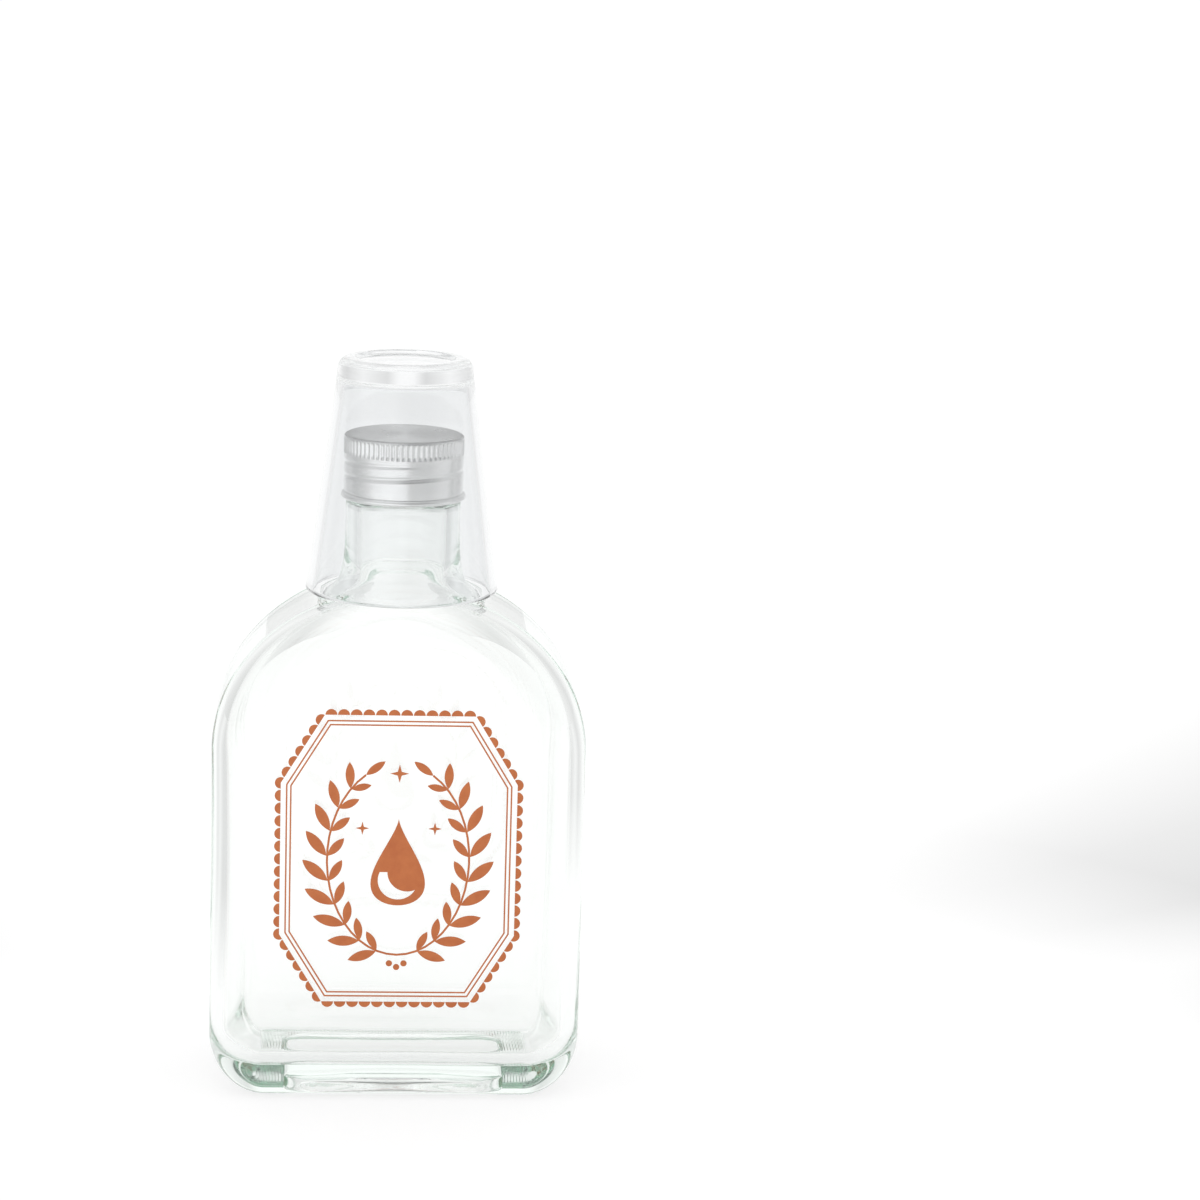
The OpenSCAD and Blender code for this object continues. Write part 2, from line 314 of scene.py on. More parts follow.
@dataclass(frozen=True)
class LinerFoam:
    """Expanded polyethylene foam: white, matt, with fine closed cells."""

    cell: float = 0.4 * MM
    cell_depth: float = 0.1 * MM

    def material(self) -> bpy.types.Material:
        """Build the foam.

        Returns:
            The material.
        """
        made = new_material("polyethylene_foam")
        tree = made.node_tree
        cells = noise(tree, self.cell, 3.0)
        bump = add_node(tree, "ShaderNodeBump", {"Height": cells, "Strength": 0.4, "Distance": self.cell_depth})
        body = add_node(tree, "ShaderNodeBsdfPrincipled", {
            "Base Color": mixed(tree, cells, "#F0EFEA", "#E2E1DB"),
            "Roughness": 0.75,
            "IOR": 1.5,
            "Normal": bump.outputs[0],
        })
        add_node(tree, "ShaderNodeOutputMaterial", {"Surface": body.outputs[0]})
        return made


@dataclass(frozen=True)
class PrintInk:
    """Screen-printed enamel ink fired on to the glass: flat terracotta with a soft satin skin and small pinholes."""

    colour: str = "#C6703A"
    deep: str = "#BB6431"
    cloud: float = 2.5 * MM
    screen: float = 0.35 * MM
    screen_depth: float = 0.02 * MM

    def material(self) -> bpy.types.Material:
        """Build the ink.

        Returns:
            The material.
        """
        made = new_material("screen_ink")
        tree = made.node_tree
        cloud = noise(tree, self.cloud, 3.0)
        mesh_marks = noise(tree, self.screen, 1.0)
        bump = add_node(
            tree, "ShaderNodeBump", {"Height": mesh_marks, "Strength": 0.3, "Distance": self.screen_depth}
        )
        body = add_node(tree, "ShaderNodeBsdfPrincipled", {
            "Base Color": mixed(tree, ranged(tree, cloud, 0.0, 1.0), self.colour, self.deep),
            "Roughness": ranged(tree, mesh_marks, 0.42, 0.55),
            "IOR": 1.5,
            "Normal": bump.outputs[0],
        })
        add_node(tree, "ShaderNodeOutputMaterial", {"Surface": body.outputs[0]})
        return made


def deselect() -> None:
    """Leave edit mode and deselect every object."""
    if bpy.context.object and bpy.context.object.mode != "OBJECT":
        bpy.ops.object.mode_set(mode="OBJECT")
    bpy.ops.object.select_all(action="DESELECT")


def dress(piece: bpy.types.Object, made: bpy.types.Material) -> None:
    """Give a piece its only material.

    Args:
        piece: The piece.
        made: Its material.
    """
    piece.data.materials.clear()
    piece.data.materials.append(made)


def lathe(name: str, profile: list[tuple[float, float]], steps: int, angle: float = 40.0) -> bpy.types.Object:
    """Turn a profile that starts and ends on the axis into a closed solid.

    Args:
        name: The piece's name.
        profile: Points as (radius, height).
        steps: Steps round the axis.
        angle: Edges sharper than this many degrees stay sharp.

    Returns:
        The piece, at the origin.
    """
    deselect()
    bpy.ops.mesh.primitive_plane_add(size=MM)
    piece = bpy.context.object
    piece.name = piece.data.name = name
    bpy.ops.object.mode_set(mode="EDIT")
    bpy.ops.mesh.select_all(action="SELECT")
    bpy.ops.mesh.merge(type="CENTER")
    bpy.ops.transform.translate(value=(profile[0][0], 0, profile[0][1]))
    for before, after in zip(profile, profile[1:]):
        step = (after[0] - before[0], 0, after[1] - before[1])
        bpy.ops.mesh.extrude_region_move(TRANSFORM_OT_translate={"value": step})
    bpy.ops.mesh.select_all(action="SELECT")
    bpy.ops.mesh.spin(steps=steps, angle=math.tau, center=(0, 0, 0), axis=(0, 0, 1))
    bpy.ops.mesh.select_all(action="SELECT")
    bpy.ops.mesh.remove_doubles(threshold=0.002 * MM)
    bpy.ops.mesh.normals_make_consistent(inside=False)
    bpy.ops.object.mode_set(mode="OBJECT")
    bpy.ops.object.shade_smooth_by_angle(angle=math.radians(angle))
    return piece


def arc(centre: tuple[float, float], radius: float, start: float, end: float, steps: int) -> list[tuple[float, float]]:
    """Points along an arc of a profile.

    Args:
        centre: Centre as (radius, height).
        radius: The arc's own radius.
        start: First angle in degrees, 0 pointing outwards and 90 up.
        end: Last angle.
        steps: Number of chords.

    Returns:
        The points, both ends included.
    """
    turns = [math.radians(start + (end - start) * i / steps) for i in range(steps + 1)]
    return [(centre[0] + radius * math.cos(t), centre[1] + radius * math.sin(t)) for t in turns]


def smooth_step(value: np.ndarray, low: float, high: float) -> np.ndarray:
    """Rise smoothly from 0 at low to 1 at high.

    Args:
        value: Values.
        low: Where it starts.
        high: Where it ends.

    Returns:
        The shares.
    """
    share = np.clip((value - low) / (high - low), 0, 1)
    return share * share * (3 - 2 * share)


def helix(turn: np.ndarray, level: np.ndarray, lead: float) -> tuple[np.ndarray, np.ndarray]:
    """Place points beside a right-hand thread that starts at height 0 and turn 0.

    Args:
        turn: Angles round the axis, from 0 to a full turn.
        level: Heights over the thread's start.
        lead: Its rise in one turn.

    Returns:
        The height between each point and the nearest pass of the thread, and the turns that the thread has made there.
    """
    climb = level / lead - turn / math.tau
    return np.abs(climb - np.round(climb)) * lead, np.round(climb) + turn / math.tau


def smooth_union(first: np.ndarray, second: np.ndarray, reach: float) -> np.ndarray:
    """Join two solids with a fillet.

    Args:
        first: Distances to the first solid, negative inside.
        second: Distances to the second solid.
        reach: Width over which they flow together.

    Returns:
        Distances to the joined solid.
    """
    share = np.maximum(reach - np.abs(first - second), 0) / reach
    return np.minimum(first, second) - share * share * reach / 4


def ellipse_distance(x: np.ndarray, z: np.ndarray, a: float, b: float) -> np.ndarray:
    """Signed distance to an ellipse in its upper right quarter.

    Args:
        x: Distances from the middle, not negative.
        z: Heights over the middle, not negative.
        a: Half width.
        b: Half height.

    Returns:
        Distances, negative inside.
    """
    tx = np.full_like(x, math.sqrt(0.5))
    tz = np.full_like(z, math.sqrt(0.5))
    for _ in range(5):
        ex, ez = (a * a - b * b) * tx**3 / a, (b * b - a * a) * tz**3 / b
        rx, rz = a * tx - ex, b * tz - ez
        qx, qz = x - ex, z - ez
        reach = np.hypot(rx, rz) / np.maximum(np.hypot(qx, qz), 1e-12)
        tx = np.clip((qx * reach + ex) / a, 0, 1)
        tz = np.clip((qz * reach + ez) / b, 0, 1)
        size = np.maximum(np.hypot(tx, tz), 1e-12)
        tx, tz = tx / size, tz / size
    away = np.hypot(x - a * tx, z - b * tz)
    return np.where((x / a) ** 2 + (z / b) ** 2 < 1, -away, away)


@dataclass(frozen=True)
class Slab:
    """Arched slab with rolled edges: one skin of the flask's body, outside or inside."""

    half_w: float
    half_d: float
    base_z: float
    spring_z: float
    rise: float
    corner_r: float
    heel_r: float
    edge_r: float

    def distance(self, p: np.ndarray) -> np.ndarray:
        """Signed distance of points to the skin.

        Args:
            p: Points as rows of x, y and z.

        Returns:
            Distances, negative inside.
        """
        x, y, z = np.abs(p[..., 0]), np.abs(p[..., 1]), p[..., 2]
        across = x - (self.half_w - self.corner_r)
        down = self.base_z + self.corner_r - z
        corner = np.hypot(np.maximum(across, 0), np.maximum(down, 0)) - self.corner_r
        low = np.where((across > 0) | (down > 0), corner, np.maximum(across, down) - self.corner_r)
        high = ellipse_distance(x, np.maximum(z - self.spring_z, 0), self.half_w, self.rise)
        outline = np.where(z > self.spring_z, high, low)
        turn = np.degrees(np.arctan2(-np.maximum(down, 0), np.maximum(across, 1e-9)))
        share = np.where(down > 0, np.where(across > 0, (turn + 90) / 90, 0.0), 1.0)
        roll = self.heel_r + (self.edge_r - self.heel_r) * smooth_step(share, 0, 1)
        q0, q1 = outline + roll, y - (self.half_d - roll)
        return np.hypot(np.maximum(q0, 0), np.maximum(q1, 0)) + np.minimum(np.maximum(q0, q1), 0) - roll


@dataclass
class GlassFlask:
    """The blown glass body: its outer skin, mouth and inner skin are one closed surface.

    The skins are set out from the body's own outline and roll, because the even, optical run of faces that clear
    glass needs can't be pulled out of a primitive.
    """

    half_w: float = 43.7 * MM
    half_d: float = 21.92 * MM
    spring_z: float = 82.4 * MM
    rise: float = 38.8 * MM
    corner_r: float = 13.4 * MM
    heel_r: float = 5.4 * MM
    edge_r: float = 10 * MM
    wall: float = 3.2 * MM
    base_t: float = 6.2 * MM
    cavity_corner_r: float = 9.2 * MM
    cavity_heel_r: float = 8.8 * MM
    cavity_edge_r: float = 9.0 * MM
    foot_w: float = 3.6 * MM
    punt_h: float = 3.0 * MM
    punt_w: float = 27 * MM
    punt_corner: float = 7 * MM
    punt_dome: float = 0.45 * MM
    punt_lean: float = 8.0
    foot_start: float = 0.8 * MM
    neck_r: float = 13.4 * MM
    flare: float = 4.2 * MM
    flare_top: float = 131.2 * MM
    flare_low: float = 118.2 * MM
    root: float = 8 * MM
    shoulder_fillet: float = 3 * MM
    mouth_r: float = 8.1 * MM
    bore_r: float = 10.1 * MM
    throat: float = 2.6 * MM
    throat_top: float = 123.5 * MM
    throat_low: float = 114.0 * MM
    throat_fillet: float = 6 * MM
    wave: float = 0.18 * MM
    fine_wave: float = 0.12 * MM
    finish_r: float = 12.5 * MM
    ledge_z: float = 141.6 * MM
    mouth_z: float = 153.8 * MM
    lead: float = 3.175 * MM
    thread_h: float = 0.42 * MM
    thread_half: float = 0.55 * MM
    thread_low: float = 8.2 * MM
    thread_high: float = 2.6 * MM
    columns: int = 256
    bend_share: float = 4 * MM

    def slab(self, face: Face) -> Slab:
        """The body without its neck.

        Args:
            face: The skin.

        Returns:
            The slab under that skin.
        """
        if face is Face.OUTER:
            return Slab(
                self.half_w, self.half_d, 0.0, self.spring_z, self.rise, self.corner_r, self.heel_r, self.edge_r
            )
        return Slab(
            self.half_w - self.wall, self.half_d - self.wall, self.base_t, self.spring_z,
            self.rise - self.wall, self.cavity_corner_r, self.cavity_heel_r, self.cavity_edge_r,
        )

    def neck_out(self, z: np.ndarray) -> np.ndarray:
        """Radius of the neck's outside at heights z."""
        u = np.clip((self.flare_top - z) / (self.flare_top - self.flare_low), 0, 1)
        return self.neck_r + self.flare * (0.55 * u**2 + 0.45 * u**10)

    def neck_in(self, z: np.ndarray) -> np.ndarray:
        """Radius of the bore at heights z."""
        u = np.clip((self.throat_top - z) / (self.throat_top - self.throat_low), 0, 1)
        return self.bore_r + self.throat * u**2

    def outer_distance(self, p: np.ndarray) -> np.ndarray:
        """Signed distance of points to the outer skin.

        Args:
            p: Points as rows of x, y and z.

        Returns:
            Distances, negative inside.
        """
        neck = np.hypot(p[..., 0], p[..., 1]) - self.neck_out(p[..., 2])
        neck = np.maximum(neck, self.flare_low - self.root - p[..., 2])
        return smooth_union(self.slab(Face.OUTER).distance(p), neck, self.shoulder_fillet)

    def inner_distance(self, p: np.ndarray) -> np.ndarray:
        """Signed distance of points to the inner skin, which waves a little as blown glass does.

        Args:
            p: Points as rows of x, y and z.

        Returns:
            Distances, negative inside.
        """
        turn = np.arctan2(p[..., 1], p[..., 0])
        wave = self.wave * np.sin(3 * turn + 0.8) * np.sin(p[..., 2] / (15 * MM) + 0.5)
        wave += self.fine_wave * np.sin(5 * turn + 2.1 + p[..., 2] / (21 * MM))
        wave *= smooth_step(-p[..., 2], -100 * MM, -80 * MM)
        wave *= smooth_step(np.hypot(p[..., 0], p[..., 1]), 8 * MM, 30 * MM)
        body = self.slab(Face.INNER).distance(p) + wave
        neck = np.hypot(p[..., 0], p[..., 1]) - self.neck_in(p[..., 2])
        neck = np.maximum(neck, self.throat_low - self.root - p[..., 2])
        return smooth_union(body, neck, self.throat_fillet)

    def distance(self, face: Face) -> Callable[[np.ndarray], np.ndarray]:
        """Signed distance to one skin."""
        return self.outer_distance if face is Face.OUTER else self.inner_distance

    def turns(self) -> np.ndarray:
        """Space the columns evenly round the body's own cross-section.

        Returns:
            Their angles round the axis.
        """
        ray = np.linspace(0, math.tau, 7201)
        flat = np.stack([np.cos(ray), np.sin(ray), np.zeros_like(ray)], -1)
        ring = cast(np.array([0, 0, 60 * MM]), flat, self.slab(Face.OUTER).distance)
        run = np.concatenate([[0], np.cumsum(np.linalg.norm(np.diff(ring, axis=0), axis=1))])
        return np.interp(np.arange(self.columns) / self.columns * run[-1], run, ray)

    def fan(
        self, face: Face, centre_z: float, low: float | np.ndarray, high: float, rows: int, steps: int = 160
    ) -> list[np.ndarray]:
        """Rows of one skin found by rays that fan out from a point on the axis, closer together where it turns.

        Args:
            face: The skin.
            centre_z: Height of the point.
            low: First angle over the horizon in degrees, for all columns or for each.
            high: Last angle.
            rows: Number of rows.
            steps: Steps of the first, even pass.

        Returns:
            One array of points a row.
        """
        centre = np.array([0, 0, centre_z])
        turn = self.turns()
        start, end = np.broadcast_to(low, turn.shape), np.broadcast_to(high, turn.shape)

        def hit(angle: np.ndarray) -> np.ndarray:
            """Follow one ray a column in each row.

            Args:
                angle: Angles over the horizon in degrees, as rows of columns.

            Returns:
                The points met.
            """
            tip = np.radians(angle)
            rays = np.stack([np.cos(tip) * np.cos(turn), np.cos(tip) * np.sin(turn), np.sin(tip)], -1)
            return cast(centre, rays, self.distance(face))

        angle = start + (end - start) * np.linspace(0, 1, steps)[:, None]
        run = np.diff(hit(angle), axis=0)
        length = np.linalg.norm(run, axis=-1)
        way = run / length[..., None]
        bend = np.zeros_like(length)
        bend[1:] = np.arccos(np.clip((way[1:] * way[:-1]).sum(-1), -1, 1))
        cost = np.concatenate([np.zeros((1, len(turn))), np.cumsum(length + self.bend_share * bend, axis=0)])
        wanted = np.linspace(0, 1, rows)
        even = np.stack([
            np.interp(wanted * cost[-1, k], cost[:, k], angle[:, k]) for k in range(len(turn))
        ], -1)
        return list(hit(even))

    def rings(self, face: Face, heights: np.ndarray) -> list[np.ndarray]:
        """Level rows of one skin.

        Args:
            face: The skin.
            heights: Height of each row.

        Returns:
            One array of points a row.
        """
        turn = self.turns()
        flat = np.stack([np.cos(turn), np.sin(turn), np.zeros_like(turn)], -1)
        return [cast(np.array([0, 0, z]), flat, self.distance(face)) for z in heights]

    def lathe_rows(self, profile: list[tuple[float, float]]) -> list[np.ndarray]:
        """Round rows from a profile of (radius, height)."""
        turn = self.turns()
        return [np.stack([r * np.cos(turn), r * np.sin(turn), np.full_like(turn, z)], -1) for r, z in profile]

    def thread(self, rows: list[np.ndarray]) -> list[np.ndarray]:
        """Raise the right-hand screw thread on the finish.

        Args:
            rows: Rows of the finish.

        Returns:
            The rows with the ridge on them.
        """
        first = self.mouth_z - self.thread_low
        passes = (self.thread_low - self.thread_high) / self.lead
        raised = []
        for row in rows:
            turn = np.arctan2(row[:, 1], row[:, 0]) % math.tau
            near, place = helix(turn, row[:, 2] - first, self.lead)
            shown = smooth_step(place, -0.1, 0.15) * (1 - smooth_step(place, passes - 0.15, passes + 0.1))
            lift = self.thread_h * np.exp(-((near / self.thread_half) ** 2)) * shown
            radius = np.hypot(row[:, 0], row[:, 1])
            raised.append(row * np.stack([1 + lift / radius, 1 + lift / radius, np.ones_like(lift)], -1))
        return raised

    def base_rows(self) -> tuple[list[np.ndarray], np.ndarray]:
        """Rows of the underside, from its middle over the pushed-up hollow and its wall to the start of the heel.

        Returns:
            One array of points a row, and how far from the axis the heel starts in each column.
        """
        turn = self.turns()
        flat = np.stack([np.cos(turn), np.sin(turn), np.zeros_like(turn)], -1)
        middle = np.zeros(3)
        half_x, half_y, corner = self.punt_w, self.half_d - self.heel_r - self.foot_w, self.punt_corner

        def hollow(p: np.ndarray) -> np.ndarray:
            """Signed distance to the round-cornered rim of the hollow.

            Args:
                p: Points as rows of x, y and z.

            Returns:
                Distances, negative inside.
            """
            across, along = np.abs(p[..., 0]) - (half_x - corner), np.abs(p[..., 1]) - (half_y - corner)
            return np.hypot(np.maximum(across, 0), np.maximum(along, 0)) + np.minimum(
                np.maximum(across, along), 0) - corner

        rim = np.linalg.norm(cast(middle, flat, hollow), axis=1)
        rows: list[tuple[float | None, float, float]] = []
        for share in (0.12, 0.25, 0.38, 0.5, 0.62, 0.72, 0.81, 0.88):
            rows.append((share, 0.0, self.punt_h + self.punt_dome * (1 - share * share)))
        top_round, foot_round = 1.0 * MM, 0.7 * MM
        wall = self.punt_h - top_round - foot_round
        out = wall * math.tan(math.radians(self.punt_lean)) + foot_round
        for a in range(90, -1, -15):
            t = math.radians(a)
            rows.append((None, -out - top_round + top_round * math.cos(t),
                         self.punt_h - top_round + top_round * math.sin(t)))
        for a in range(180, 271, 15):
            t = math.radians(a)
            rows.append((None, foot_round * math.cos(t), foot_round + foot_round * math.sin(t)))
        made = []
        for share, inset, z in rows:
            reach = rim * share if share is not None else rim + inset
            made.append(np.stack([reach * np.cos(turn), reach * np.sin(turn), np.full_like(turn, z)], -1))
        return made, rim + self.foot_start

    def build(self) -> bpy.types.Object:
        """Build the flask.

        Returns:
            The piece.
        """
        # the points on the axis that the fans of rays start from
        heel_eye, cavity_eye, throat_eye = 16 * MM, 22 * MM, 80 * MM
        rows, heel = self.base_rows()
        rows += self.fan(Face.OUTER, heel_eye, np.degrees(np.arctan2(-heel_eye, heel)), 0, 40)
        rows += self.rings(Face.OUTER, np.linspace(18 * MM, 80 * MM, 26))
        top = math.degrees(math.atan2(self.flare_top - self.spring_z, self.neck_r))
        rows += self.fan(Face.OUTER, self.spring_z, 0, top, 74)
        neck = [(self.neck_r, z * MM) for z in (132.5, 134.5, 136.5, 138.5, 139.6, 140.2)]
        neck += arc((self.neck_r - 0.5 * MM, 140.7 * MM), 0.5 * MM, 0, 70, 4)
        neck += arc((self.finish_r + 0.4 * MM, self.ledge_z), 0.4 * MM, 250, 180, 3)
        rows += self.lathe_rows(neck)
        body = [(self.finish_r, z) for z in np.linspace(self.ledge_z + 0.4 * MM, self.mouth_z - 1.1 * MM, 34)]
        rows += self.thread(self.lathe_rows(body))
        lip = arc((self.finish_r - 1 * MM, self.mouth_z - 1 * MM), 1 * MM, 0, 90, 6)
        lip += arc((self.mouth_r + 0.8 * MM, self.mouth_z - 0.8 * MM), 0.8 * MM, 90, 180, 6)
        # the bore widens below the finish
        heights = np.array([151, 147, 144, 143, 142, 141, 140, 139, 138, 136, 133, 130.5, 128.5])
        radii = self.mouth_r + (self.bore_r - self.mouth_r) * smooth_step(-heights, -144, -138)
        lip += list(zip(radii, heights * MM))
        rows += self.lathe_rows(lip)
        bore = math.degrees(math.atan2(127.2 * MM - throat_eye, self.bore_r))
        rows += self.fan(Face.INNER, throat_eye, bore, 0, 62)
        rows += self.rings(Face.INNER, np.linspace(77.5 * MM, 25 * MM, 22))
        rows += self.fan(Face.INNER, cavity_eye, 0, -89.0, 56)
        piece = skin("bottle_glass", rows)
        dress(piece, BottleGlass().material())
        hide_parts("bottle")
        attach(piece, "bottle")
        return piece


def cast(
    centre: np.ndarray, rays: np.ndarray, distance: Callable[[np.ndarray], np.ndarray], far: float = 0.2
) -> np.ndarray:
    """Follow rays from a point inside a solid to its skin.

    Args:
        centre: The point.
        rays: Directions of length one.
        distance: Signed distance to the skin.
        far: A distance past the skin.

    Returns:
        The points on the skin.
    """
    near = np.zeros(rays.shape[:-1])
    past = np.full(rays.shape[:-1], far)
    for _ in range(34):
        middle = (near + past) / 2
        outside = distance(centre + rays * middle[..., None]) > 0
        near, past = np.where(outside, near, middle), np.where(outside, middle, past)
    return centre + rays * ((near + past) / 2)[..., None]


def skin(name: str, rows: list[np.ndarray]) -> bpy.types.Object:
    """Join rows of points into a closed smooth surface, with a pole at each end.

    Args:
        name: The piece's name.
        rows: Rows of equal length, anticlockwise seen from above.

    Returns:
        The piece.
    """
    count = len(rows[0])
    first = np.array([0, 0, rows[0][:, 2].mean()])
    last = np.array([0, 0, rows[-1][:, 2].mean()])
    points = np.concatenate([[first], *rows, [last]])
    column = np.arange(count)
    after = (column + 1) % count
    faces: list[tuple[int, ...]] = [(0, 1 + b, 1 + a) for a, b in zip(column, after)]
    for k in range(len(rows) - 1):
        start = 1 + k * count
        faces += [(start + a, start + b, start + count + b, start + count + a) for a, b in zip(column, after)]
    start = 1 + (len(rows) - 1) * count
    faces += [(start + a, start + b, len(points) - 1) for a, b in zip(column, after)]
    mesh = bpy.data.meshes.new(name)
    mesh.from_pydata(points.tolist(), [], [tuple(int(i) for i in face) for face in faces])
    mesh.update()
    piece = bpy.data.objects.new(name, mesh)
    bpy.context.scene.collection.objects.link(piece)
    mesh.shade_smooth()
    return piece


@dataclass
class ScrewCap:
    """The drawn aluminium cap: turned lid, knurled band, rolled thread, undercut and curl."""

    top_z: float = 155.65 * MM
    height: float = 15 * MM
    radius: float = 14 * MM
    bore_r: float = 13.45 * MM
    sheet: float = 0.35 * MM
    edge: float = 0.6 * MM
    knurl_high: float = 14.3 * MM
    knurl_low: float = 10.7 * MM
    knurls: int = 72
    steps_a_knurl: int = 6
    knurl_depth: float = 0.28 * MM
    curl_r: float = 14.55 * MM
    curl_h: float = 1.5 * MM
    lead: float = 3.175 * MM
    groove: float = 0.3 * MM
    groove_half: float = 0.5 * MM
    thread_low: float = 3.95 * MM
    skirt_low: float = 4.4 * MM

    def profile(self) -> list[tuple[float, float]]:
        """The cap's section, from the middle of the lid round the curl to the middle inside.

        Returns:
            Points as (radius, height).
        """
        skirt = self.radius - 0.1 * MM
        section = [(r * MM, self.height) for r in (0, 4, 8, 11, 12.3)]
        section += arc((self.radius - self.edge, self.height - self.edge), self.edge, 90, 0, 6)
        crest = self.radius - 0.05 * MM
        section += [(crest, self.knurl_high + 0.05 * MM)]
        section += [(crest, z) for z in np.linspace(self.knurl_high - 0.15 * MM, self.knurl_low + 0.15 * MM, 5)]
        section += [(skirt, self.knurl_low - 0.05 * MM)]
        section += [
            (skirt + 0.08 * MM * math.sin(math.pi * i / 8) ** 2, self.knurl_low - 0.1 * MM - 0.2 * MM * i)
            for i in range(9)
        ]
        section += [(skirt, z) for z in np.linspace(self.knurl_low - 2 * MM, self.skirt_low, 22)]
        section += [(skirt, 3.2 * MM), (skirt, 2.2 * MM)]
        section += [(skirt - 0.02 * MM, 1.95 * MM), (self.bore_r + self.sheet, 1.7 * MM)]
        section += [(self.bore_r + self.sheet, 1.5 * MM)]
        half = self.curl_h / 2
        section += arc((self.curl_r - half, half), half, 78, -100, 12)
        section += [(self.bore_r + 0.12 * MM, 0.2 * MM), (self.bore_r + 0.03 * MM, 0.5 * MM)]
        section += [(self.bore_r, 1.6 * MM), (self.bore_r, self.height - 1.1 * MM)]
        section += arc((self.bore_r - 0.7 * MM, self.height - self.sheet - 0.7 * MM), 0.7 * MM, 0, 90, 4)
        section += [(0, self.height - self.sheet)]
        base = self.top_z - self.height
        return [(r, z + base) for r, z in section]

    def knurl(self, piece: bpy.types.Object) -> None:
        """Press the grip: every knurl keeps its crest and the columns between them are drawn in.

        Args:
            piece: The turned cap.
        """
        deselect()
        piece.select_set(True)
        bpy.context.view_layer.objects.active = piece
        bpy.ops.object.mode_set(mode="EDIT")
        bpy.ops.mesh.select_mode(type="VERT")
        bpy.ops.mesh.select_all(action="DESELECT")
        bpy.ops.object.mode_set(mode="OBJECT")
        base = self.top_z - self.height
        low, high = base + self.knurl_low, base + self.knurl_high
        columns = self.knurls * self.steps_a_knurl
        # of the six columns of a knurl two stay out as its crest, two go half way in and two go all the way
        for share, wanted in ((1.0, (4, 5)), (0.55, (3, 0))):
            for vertex in piece.data.vertices:
                x, y, z = vertex.co
                column = round(math.atan2(y, x) / math.tau * columns) % self.steps_a_knurl
                vertex.select = low < z < high and math.hypot(x, y) > self.radius - 0.2 * MM and column in wanted
            bpy.ops.object.mode_set(mode="EDIT")
            shrink = 1 - self.knurl_depth * share / self.radius
            bpy.ops.transform.resize(value=(shrink, shrink, 1), center_override=(0, 0, 0))
            bpy.ops.mesh.select_all(action="DESELECT")
            bpy.ops.object.mode_set(mode="OBJECT")

    def roll_thread(self, piece: bpy.types.Object) -> None:
        """Press the thread into the skirt. It follows a helix, so it is set by formula.

        Args:
            piece: The turned cap.
        """
        count = len(piece.data.vertices)
        flat = np.empty(count * 3)
        piece.data.vertices.foreach_get("co", flat)
        co = flat.reshape(-1, 3)
        base = self.top_z - self.height
        radius = np.hypot(co[:, 0], co[:, 1])
        turn = np.arctan2(co[:, 1], co[:, 0]) % math.tau
        level = co[:, 2] - base
        near, place = helix(turn, level - self.thread_low, self.lead)
        shown = smooth_step(place, 0.2, 0.4) * (1 - smooth_step(place, 1.5, 1.95))
        press = self.groove * np.exp(-((near / self.groove_half) ** 2)) * shown
        outside = radius > self.radius - self.sheet
        press *= outside & (level > self.skirt_low) & (level < self.knurl_low - 0.3 * MM)
        co[:, :2] *= (1 - press / np.maximum(radius, MM))[:, None]
        piece.data.vertices.foreach_set("co", co.ravel())
        piece.data.update()

    def build(self) -> bpy.types.Object:
        """Build the cap.

        Returns:
            The piece.
        """
        piece = lathe("cap_sheet", self.profile(), self.knurls * self.steps_a_knurl)
        self.knurl(piece)
        self.roll_thread(piece)
        dress(piece, CapAluminium().material())
        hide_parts("cap_shell")
        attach(piece, "cap")
        return piece


@dataclass
class Cup:
    """The clear cup, upside down over the cap: thick floor on top, rounded lip below."""

    low_z: float
    height: float = 55 * MM
    rim_r: float = 22.495 * MM
    end_r: float = 15.4 * MM
    wall: float = 1.9 * MM
    floor: float = 5.4 * MM
    edge_r: float = 2.6 * MM
    recess: float = 0.8 * MM
    recess_r: float = 12.0 * MM
    inner_round: float = 1.0 * MM
    steps: int = 288

    def profile(self) -> list[tuple[float, float]]:
        """The cup's section, from the middle of its closed end round the lip to the middle inside.

        Returns:
            Points as (radius, height).
        """
        slope = (self.rim_r - self.end_r) / self.height
        lean = math.degrees(math.atan(slope))
        top = self.height
        section = [(r * MM, top - self.recess) for r in (0, 5, 9)]
        section += arc((self.recess_r - 1.2 * MM, top - self.recess + 0.5 * MM), 0.5 * MM, 270, 330, 3)
        section += arc((self.recess_r, top - 0.5 * MM), 0.5 * MM, 150, 90, 3)
        end_r = self.end_r + slope * self.edge_r
        section += arc((end_r - self.edge_r, top - self.edge_r), self.edge_r, 90, lean, 10)
        lip = self.wall / 2
        for z in np.linspace(top - self.edge_r - 2 * MM, 3 * MM, 12):
            section.append((self.rim_r - slope * z, z))
        section += arc((self.rim_r - lip, lip), lip, 0, -180, 12)
        for z in np.linspace(3 * MM, top - self.floor - self.inner_round - 1 * MM, 12):
            section.append((self.rim_r - slope * z - self.wall, z))
        floor_r = self.end_r + slope * self.floor - self.wall
        section += arc(
            (floor_r - self.inner_round, top - self.floor - self.inner_round), self.inner_round, lean, 90, 6
        )
        section += [(6 * MM, top - self.floor), (0, top - self.floor)]
        return [(r, z + self.low_z) for r, z in section]

    def build(self) -> bpy.types.Object:
        """Build the cup.

        Returns:
            The piece.
        """
        piece = lathe("cup_clear", self.profile(), self.steps, 60.0)
        dress(piece, CupPlastic().material())
        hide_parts("cup")
        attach(piece, "cup")
        return piece


